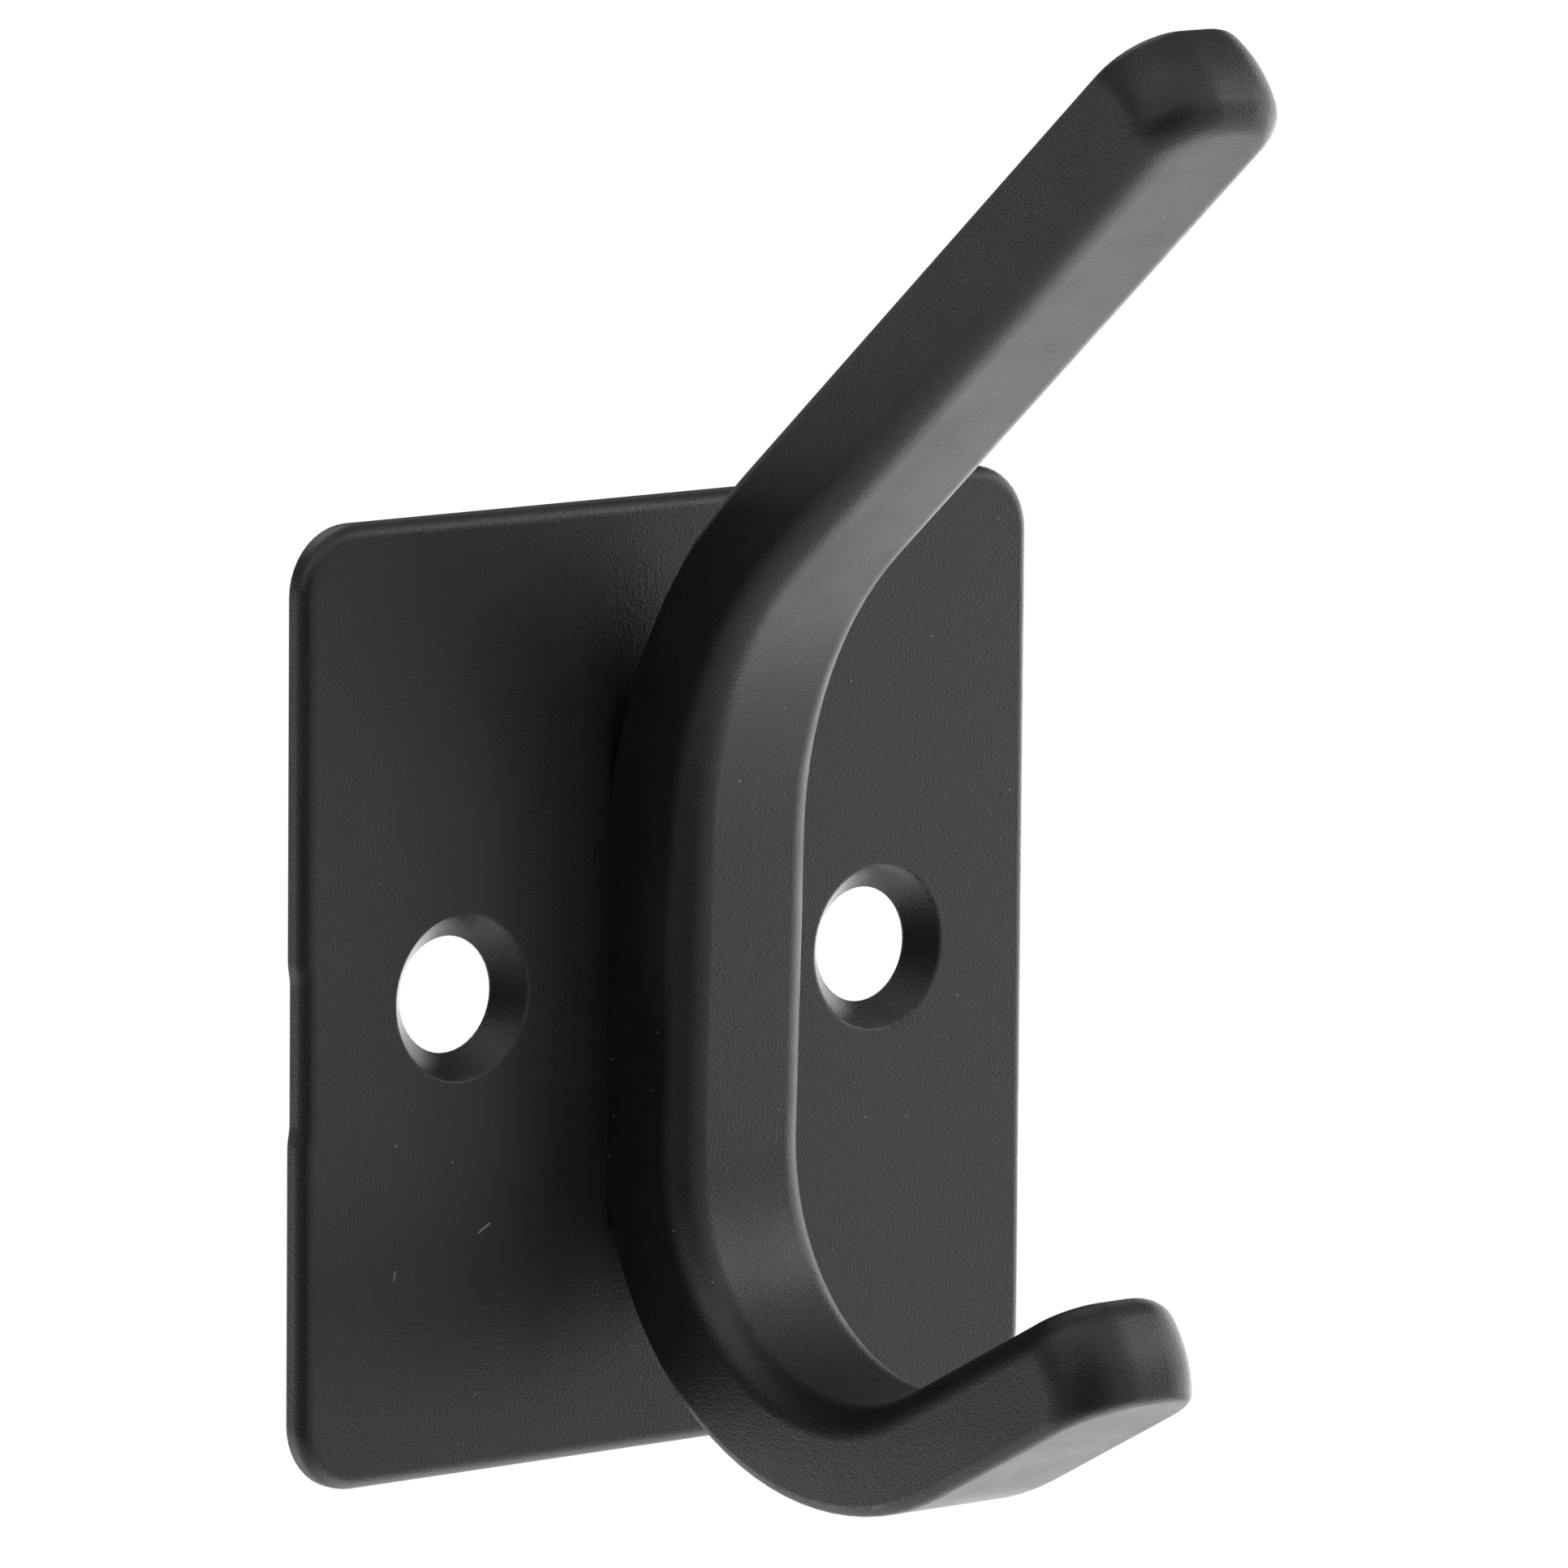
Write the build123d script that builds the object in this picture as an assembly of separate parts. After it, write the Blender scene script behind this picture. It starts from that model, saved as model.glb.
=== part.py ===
from build123d import *
import os
from math import cos, radians, sin, tan

# A double wall hook cast in one piece: a flat back plate with a bar up its middle that bends
# out at the top into a long slanted arm and at the bottom into a short upturned hook.
# Millimetres. The wall is the plane Y = 0, the hook stands out toward -Y, and +Z is up.
# The origin is on the wall face, midway between the two screw holes.

# Back plate
plate_width = 44.35
plate_height = 45.0
plate_thickness = 1.4
plate_corner_radius = 3.25
plate_front_edge_radius = 0.7
plate_back_edge_radius = 0.28

# Shallow hollow in the plate's left edge, where the casting's feed was trimmed off
trim_depth = 0.13
trim_length = 8.4
trim_ramp = 0.8
trim_height = -1.95
trim_blend_radius = 3.0

# Countersunk screw holes, one on each side of the bar
hole_spacing = 25.5
hole_diameter = 5.5
hole_land = 0.1
countersink_angle = 86.0
countersink_lip_radius = 0.3

# Bar section, with a rounder edge on the front than on the back
bar_width = 7.92
bar_thickness = 5.23
front_edge_radius = 1.6
back_edge_radius = 0.61

# Bar's front face: its distance from the wall at Z = 0, and its lean out toward the top
bar_reach = 6.97
bar_lean = 1.6

# Upper arm, measured from the corner where its front line meets the bar's front line
arm_corner_height = 15.17
arm_angle = 49.74
arm_length = 43.68
arm_front_radius = 18.5
arm_back_radius = 27.3

# Lower hook, measured in the same way
hook_corner_height = -24.84
hook_angle = 117.43
hook_length = 30.74
hook_front_radius = 10.25
hook_back_radius = 16.47

# Both tips: a crowned end, with its plan corners rounded
tip_crown = 0.55
tip_corner_radius = 3.15

# Depth to which the bar's back is sunk in the plate
root_depth = 0.8

# Distance under which two places count as the same
same_place = 0.001


def plate():
    """Rounded back plate with the trimmed hollow in its left edge and rolled front and back edges."""
    left = -plate_width / 2
    floor = left + trim_depth
    shoulder = trim_length / 2
    flat = shoulder - trim_ramp
    hollow = Polyline(
        (left, trim_height + shoulder),
        (floor, trim_height + flat),
        (floor, trim_height - flat),
        (left, trim_height - shoulder),
        close=True,
    )
    outline = RectangleRounded(plate_width, plate_height, plate_corner_radius) - make_face(hollow)
    beside = [v for v in outline.vertices() if abs(v.Y - trim_height) < trim_length]
    kinks = [v for v in beside if v.X < floor + same_place]
    outline = fillet(kinks, trim_blend_radius)
    slab = extrude(Plane.XZ * outline, plate_thickness)
    slab = fillet(slab.faces().sort_by(Axis.Y)[0].edges(), plate_front_edge_radius)
    return fillet(slab.faces().sort_by(Axis.Y)[-1].edges(), plate_back_edge_radius)


def front_point(height):
    """Point of the bar's leaning front line, in the side view."""
    return Vector(-bar_reach - height * tan(radians(bar_lean)), height)


def tip(corner, heading, to_back, length):
    """Front corner, crown and back corner of a tip, in the side view."""
    front = corner + heading * (length - tip_crown)
    crown = corner + heading * length + to_back * (bar_thickness / 2)
    return front, crown, front + to_back * bar_thickness


def at_root(point, heading):
    """Place where the line through a point meets the line on which the bar's back is sunk."""
    root = root_depth - plate_thickness
    return point + heading * ((root - point.X) / heading.X)


def drawn_from(line, point):
    """Whether a point of the bar lies on a line of the side view, seen along X."""
    return (Plane.YZ * line).distance_to(Vector(0, point.Y, point.Z)) < same_place


def rim(solid, line):
    """Edges all round the faces that were drawn out of a line of the side view."""
    edges = []
    for face in solid.faces():
        if drawn_from(line, face.position_at(0.5, 0.5)):
            edges += face.edges()
    return [edge for edge in edges if edges.count(edge) == 1]


def bar():
    """Bar with the upper arm and the lower hook, its tips and edges rounded."""
    arm = Vector(-sin(radians(arm_angle)), cos(radians(arm_angle)))
    arm_back = Vector(cos(radians(arm_angle)), sin(radians(arm_angle)))
    hook = Vector(-sin(radians(hook_angle)), -cos(radians(hook_angle)))
    hook_back = Vector(cos(radians(hook_angle)), -sin(radians(hook_angle)))

    arm_corner = front_point(arm_corner_height)
    hook_corner = front_point(hook_corner_height)
    arm_tip = tip(arm_corner, arm, arm_back, arm_length)
    hook_tip = tip(hook_corner, hook, hook_back, hook_length)

    front = FilletPolyline(
        arm_tip[0], arm_corner, hook_corner, hook_tip[0],
        radius=(arm_front_radius, hook_front_radius),
    )
    back = FilletPolyline(
        arm_tip[2], at_root(arm_tip[2], arm), at_root(hook_tip[2], hook), hook_tip[2],
        radius=(arm_back_radius, hook_back_radius),
    )
    ends = [ThreePointArc(*arm_tip), ThreePointArc(*hook_tip)]
    outline = make_face(front.edges() + back.edges() + ends)
    solid = extrude(Plane.YZ * outline, bar_width / 2, both=True)

    sides = solid.faces().filter_by(Axis.X).edges()
    corners = [edge for edge in sides if any(drawn_from(end, edge @ 0.5) for end in ends)]
    solid = fillet(corners, tip_corner_radius)
    solid = fillet(rim(solid, front), front_edge_radius)
    return fillet(rim(solid, back), back_edge_radius)


def screw_hole():
    """Tool for one countersunk hole on the Y axis: a short straight land, then the cone."""
    cone_depth = plate_thickness - hole_land
    mouth_radius = hole_diameter / 2 + cone_depth * tan(radians(countersink_angle / 2))
    bore = extrude(Plane.XZ * Circle(hole_diameter / 2), hole_land)
    from_base = (Align.CENTER, Align.CENTER, Align.MIN)
    cone = Cone(hole_diameter / 2, mouth_radius, cone_depth, align=from_base)
    return bore + Plane.XZ.offset(hole_land) * cone


def wall_hook():
    """The whole casting, with its two screw holes."""
    body = plate() + bar()
    for side in (-1, 1):
        body -= Pos(X=side * hole_spacing / 2) * screw_hole()
    mouths = [Vector(side * hole_spacing / 2, -plate_thickness) for side in (-1, 1)]
    rings = body.edges().filter_by(GeomType.CIRCLE)
    lips = [r for r in rings if any((r.arc_center - m).length < same_place for m in mouths)]
    return fillet(lips, countersink_lip_radius)


os.makedirs("parts", exist_ok=True)
export_step(wall_hook(), "parts/wall_hook.step")
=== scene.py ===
from math import cos, radians, sin

import bpy
from mathutils import Matrix, Vector

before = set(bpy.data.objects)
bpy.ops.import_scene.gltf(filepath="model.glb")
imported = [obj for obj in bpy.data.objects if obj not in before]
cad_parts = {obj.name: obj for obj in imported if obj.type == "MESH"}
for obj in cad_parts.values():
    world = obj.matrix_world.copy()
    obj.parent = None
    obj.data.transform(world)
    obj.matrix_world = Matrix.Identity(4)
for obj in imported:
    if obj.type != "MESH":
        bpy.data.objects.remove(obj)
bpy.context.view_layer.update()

MM = 0.001
WHITE = (1.0, 1.0, 1.0, 1.0)

# Black coat: the colours of the coat and of the pale marks on it, and the tint of its gloss
COAT_COLOR = (0.004, 0.004, 0.0042, 1.0)
MARK_COLOR = (0.16, 0.16, 0.155, 1.0)
GLOSS_TINT = (0.985, 0.935, 1.0, 1.0)

# Grain, with lumps in the coarser patches, and the slow changes of gloss. Each noise has its scale,
# detail and roughness.
GRAIN_NOISE = (8500.0, 1.0, 0.5)
LUMP_NOISE = (3400.0, 1.0, 0.5)
LUMP_SHARE = 0.9
GRAIN_HEIGHT = 0.024 * MM
GLOSS_NOISE = (320.0, 3.0, 0.6)
GLOSS_NOISE_RANGE = (0.3, 0.7)
ROUGHNESS_RANGE = (0.44, 0.49)

# Dust specks: the scale of their cells, and the radius of a speck and of its full part in a cell
SPECK_SCALE = 560.0
SPECK_RADIUS = 0.036
SPECK_CORE = 0.018

# Patches of coarser grain on the plate, beside the bar: the two ends of the middle line, as X and Z,
# and the distances from it where the patch ends and where it is full, in millimetres.
PATCHES = (
    ((-2.6, 18.6), (-3.0, 15.2), 3.0, 0.8),
    ((-3.6, -10.0), (-1.8, -15.8), 1.6, 0.4),
)

# Short pale scratches on the plate: their ends, as X and Z, and half their width, in millimetres.
# The full part takes a share of that width.
SCRATCHES = (
    ((-11.70, -11.14), (-11.05, -10.77), 0.07),
    ((-16.78, -12.86), (-16.71, -12.45), 0.045),
)
SCRATCH_CORE = 0.4
PLATE_FRONT = -1.4

# Angle from which an edge is kept as a true edge, and distance under which two points are one
EDGE_ANGLE = 28.0
SAME_POINT = 0.001 * MM

# Studio: the place the lamps are aimed at, and each lamp's azimuth (0 in front, 90 on the right),
# elevation, distance, width, height and strength, in degrees and metres. The power is in watts for
# each square metre at strength 1, and the room adds a little light from all round.
AIM = Vector((0.0, -0.01, 0.01))
LAMPS = {
    "key": (75.0, 0.0, 0.6, 0.22, 0.5, 2.45),
    "key_front": (60.0, 0.0, 0.6, 0.22, 0.5, 0.95),
    "key_side": (103.0, -2.0, 0.6, 0.17, 0.5, 3.6),
    "key_back": (122.0, -2.0, 0.6, 0.25, 0.5, 1.8),
    "key_top": (51.0, 31.0, 0.65, 0.35, 0.28, 3.2),
    "key_low": (126.0, -27.0, 0.55, 0.35, 0.35, 1.15),
    "front": (0.0, -4.0, 0.6, 0.38, 0.3, 1.0),
    "front_right": (20.0, 15.0, 0.65, 0.3, 0.3, 0.3),
    "low": (60.0, -68.0, 0.4, 0.3, 0.3, 1.9),
    "top_right": (85.0, 52.0, 0.65, 0.3, 0.3, 0.6),
    "top": (-10.0, 60.0, 0.7, 0.5, 0.5, 1.0),
    "top_front": (-5.0, 35.0, 0.7, 0.4, 0.35, 0.95),
    "top_left": (-72.0, 48.0, 0.7, 0.4, 0.4, 1.7),
    "top_back": (170.0, 50.0, 0.8, 0.6, 0.5, 1.8),
    "left": (-96.0, 24.0, 0.7, 0.35, 0.28, 2.0),
    "back": (185.0, 0.0, 0.9, 0.7, 0.5, 0.5),
    "back_low": (-158.0, -32.0, 0.6, 0.4, 0.35, 0.9),
}
LAMP_POWER = 4.0
ROOM = 0.03

# White floor: its height, size and colour. Its reflection falls off on the way toward the front,
# between the two distances, and is a share of white near the object, up to full white farther out.
FLOOR_HEIGHT = -0.5
FLOOR_SIZE = 24.0
FLOOR_COLOR = (0.8, 0.8, 0.8, 1.0)
FRONT_WAY = (-0.6, -0.8, 0.0)
FRONT_FALL = (0.05, 1.2)
NEAR_REACH = (0.2, 1.2)
NEAR_SHARE = 0.7

# Camera: its place round the target in degrees and millimetres, and its focal length in pixels of
# a picture of the given width.
VIEW_AZIMUTH = -40.745
VIEW_ELEVATION = 8.02
VIEW_ROLL = 0.4585
VIEW_DISTANCE = 708.0
VIEW_TARGET = (8.003, 0.0, 8.065)
FOCAL_PIXELS = 18476.0
PICTURE_PIXELS = 1932.0
SENSOR_WIDTH = 36.0
CLIP = (0.01, 40.0)


def direction(azimuth, elevation):
    turn, rise = radians(azimuth), radians(elevation)
    return Vector((sin(turn) * cos(rise), -cos(turn) * cos(rise), sin(rise)))


class Shader:
    """The node tree of a material or a world, with short calls for its nodes."""

    def __init__(self, owner):
        owner.use_nodes = True
        self.tree = owner.node_tree
        self.tree.nodes.clear()

    def add(self, kind, settings=None, **inputs):
        made = self.tree.nodes.new("ShaderNode" + kind)
        for key, value in (settings or {}).items():
            setattr(made, key, value)
        for key, value in inputs.items():
            self.put(made.inputs[key.replace("_", " ")], value)
        return made

    def put(self, socket, value):
        if isinstance(value, bpy.types.NodeSocket):
            self.tree.links.new(value, socket)
        else:
            socket.default_value = value

    def math(self, operation, *values):
        made = self.add("Math", {"operation": operation})
        for socket, value in zip(made.inputs, values):
            self.put(socket, value)
        return made.outputs[0]

    def vector(self, operation, *values):
        made = self.add("VectorMath", {"operation": operation})
        for socket, value in zip(made.inputs, values):
            self.put(socket, value)
        return made.outputs["Value" if operation in ("DOT_PRODUCT", "LENGTH", "DISTANCE") else "Vector"]

    def noise(self, place, scale, detail, roughness):
        made = self.add("TexNoise", Vector=place, Scale=scale, Detail=detail, Roughness=roughness)
        return made.outputs["Fac"]

    def ramp(self, value, low, high, start=0.0, end=1.0):
        made = self.add("MapRange", {"interpolation_type": "SMOOTHSTEP"}, Value=value)
        for name, number in (("From Min", low), ("From Max", high), ("To Min", start), ("To Max", end)):
            made.inputs[name].default_value = number
        return made.outputs[0]

    def blend(self, share, first, second):
        made = self.add("Mix", {"data_type": "RGBA"}, Factor=share)
        self.put(made.inputs[6], first)
        self.put(made.inputs[7], second)
        return made.outputs[2]

    def far(self, place, start, end):
        """Distance of a place from the line between two points."""
        start, end = Vector(start), Vector(end)
        offset = self.vector("SUBTRACT", place, tuple(start))
        along = self.vector("DOT_PRODUCT", offset, tuple((end - start) / (end - start).length_squared))
        along = self.math("MINIMUM", self.math("MAXIMUM", along, 0.0), 1.0)
        scale = self.add("VectorMath", {"operation": "SCALE"})
        scale.inputs[0].default_value = tuple(end - start)
        self.put(scale.inputs["Scale"], along)
        return self.vector("DISTANCE", offset, scale.outputs["Vector"])


def on_plate(point):
    return (point[0] * MM, PLATE_FRONT * MM, point[1] * MM)


def black_coat():
    """Satin black coat with a fine grain, coarser beside the bar, a few dust specks and scratches."""
    material = bpy.data.materials.new("black_coat")
    s = Shader(material)
    place = s.add("TexCoord").outputs["Object"]

    grain = s.noise(place, *GRAIN_NOISE)
    lumps = s.noise(place, *LUMP_NOISE)
    patches = []
    for start, end, limit, full in PATCHES:
        away = s.far(place, on_plate(start), on_plate(end))
        patches.append(s.ramp(away, limit * MM, full * MM))
    coarse = s.math("MAXIMUM", *patches)
    height = s.math("MULTIPLY_ADD", s.math("MULTIPLY", lumps, coarse), LUMP_SHARE, grain)
    bump = s.add("Bump", Strength=1.0, Distance=GRAIN_HEIGHT, Height=height)

    cloud = s.noise(place, *GLOSS_NOISE)
    roughness = s.ramp(cloud, *GLOSS_NOISE_RANGE, *ROUGHNESS_RANGE)

    cells = s.add("TexVoronoi", Vector=place, Scale=SPECK_SCALE)
    marks = s.ramp(cells.outputs["Distance"], SPECK_RADIUS, SPECK_CORE)
    for start, end, width in SCRATCHES:
        away = s.far(place, on_plate(start), on_plate(end))
        marks = s.math("MAXIMUM", marks, s.ramp(away, width * MM, SCRATCH_CORE * width * MM))
    color = s.blend(marks, COAT_COLOR, MARK_COLOR)

    coat = s.add("BsdfPrincipled", Base_Color=color, Roughness=roughness, Normal=bump.outputs["Normal"])
    coat.inputs["Specular Tint"].default_value = GLOSS_TINT
    s.add("OutputMaterial", Surface=coat.outputs["BSDF"])
    return material


def join_seams(node):
    """Even shading across the seams between faces that run into each other, with true edges kept."""
    weld = node.modifiers.new("seams", "WELD")
    weld.merge_threshold = SAME_POINT
    edges = node.modifiers.new("edges", "EDGE_SPLIT")
    edges.split_angle = radians(EDGE_ANGLE)
    edges.use_edge_sharp = False
    shading = node.modifiers.new("shading", "WEIGHTED_NORMAL")
    shading.mode = "FACE_AREA_WITH_ANGLE"


def floor():
    """White floor whose reflection falls off toward the front. It keeps the object's soft shadow."""
    material = bpy.data.materials.new("floor")
    s = Shader(material)
    place = s.add("NewGeometry").outputs["Position"]
    front = s.vector("DOT_PRODUCT", place, FRONT_WAY)
    reach = s.vector("DISTANCE", place, (0.0, 0.0, FLOOR_HEIGHT))
    fall = s.ramp(front, *reversed(FRONT_FALL))
    lit = s.math("MULTIPLY", fall, s.ramp(reach, *NEAR_REACH, NEAR_SHARE, 1.0))
    path = s.add("LightPath").outputs
    shown = s.math("MAXIMUM", path["Is Glossy Ray"], path["Is Transmission Ray"])
    seen = s.math("MAXIMUM", path["Is Camera Ray"], s.math("MULTIPLY", lit, shown))
    white = s.add("Emission", Color=WHITE, Strength=seen)
    plain = s.add("BsdfDiffuse", Color=FLOOR_COLOR)
    both = s.add("AddShader")
    s.put(both.inputs[0], plain.outputs[0])
    s.put(both.inputs[1], white.outputs[0])
    s.add("OutputMaterial", Surface=both.outputs[0])
    bpy.ops.mesh.primitive_plane_add(size=FLOOR_SIZE, location=(0.0, 0.0, FLOOR_HEIGHT))
    plane = bpy.context.object
    plane.name = "floor"
    plane.data.materials.append(material)


def lamps():
    for name, (azimuth, elevation, distance, width, height, strength) in LAMPS.items():
        data = bpy.data.lights.new(name, "AREA")
        data.shape = "RECTANGLE"
        data.size = width
        data.size_y = height
        data.energy = LAMP_POWER * width * height * strength
        lamp = bpy.data.objects.new(name, data)
        bpy.context.scene.collection.objects.link(lamp)
        toward = direction(azimuth, elevation)
        turn = toward.to_track_quat("Z", "Y").to_matrix().to_4x4()
        lamp.matrix_world = Matrix.Translation(AIM + toward * distance) @ turn
        lamp.visible_camera = False


def room():
    """Dim room that looks white from the camera, as the floor does."""
    world = bpy.data.worlds.new("room")
    bpy.context.scene.world = world
    s = Shader(world)
    path = s.add("LightPath").outputs
    shown = s.math("MAXIMUM", path["Is Camera Ray"], path["Is Transmission Ray"])
    light = s.add("Background", Color=WHITE, Strength=s.math("MAXIMUM", shown, ROOM))
    s.add("OutputWorld", Surface=light.outputs[0])


def camera():
    """Camera at the photograph's viewing angle."""
    roll = radians(VIEW_ROLL)
    target = Vector(VIEW_TARGET) * MM
    data = bpy.data.cameras.new("camera")
    data.sensor_width = SENSOR_WIDTH
    data.lens = FOCAL_PIXELS * SENSOR_WIDTH / PICTURE_PIXELS
    data.clip_start, data.clip_end = CLIP
    made = bpy.data.objects.new("camera", data)
    bpy.context.scene.collection.objects.link(made)
    back = direction(VIEW_AZIMUTH, VIEW_ELEVATION)
    right = (-back).cross(Vector((0.0, 0.0, 1.0))).normalized()
    up = right.cross(-back)
    across = right * cos(roll) + up * sin(roll)
    upright = up * cos(roll) - right * sin(roll)
    turn = Matrix((across, upright, back)).transposed().to_4x4()
    made.matrix_world = Matrix.Translation(target + back * (VIEW_DISTANCE * MM)) @ turn
    bpy.context.scene.camera = made


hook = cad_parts["wall_hook"]
hook.data.materials.clear()
hook.data.materials.append(black_coat())
join_seams(hook)
floor()
lamps()
room()
camera()
bpy.context.scene.view_settings.view_transform = "Standard"
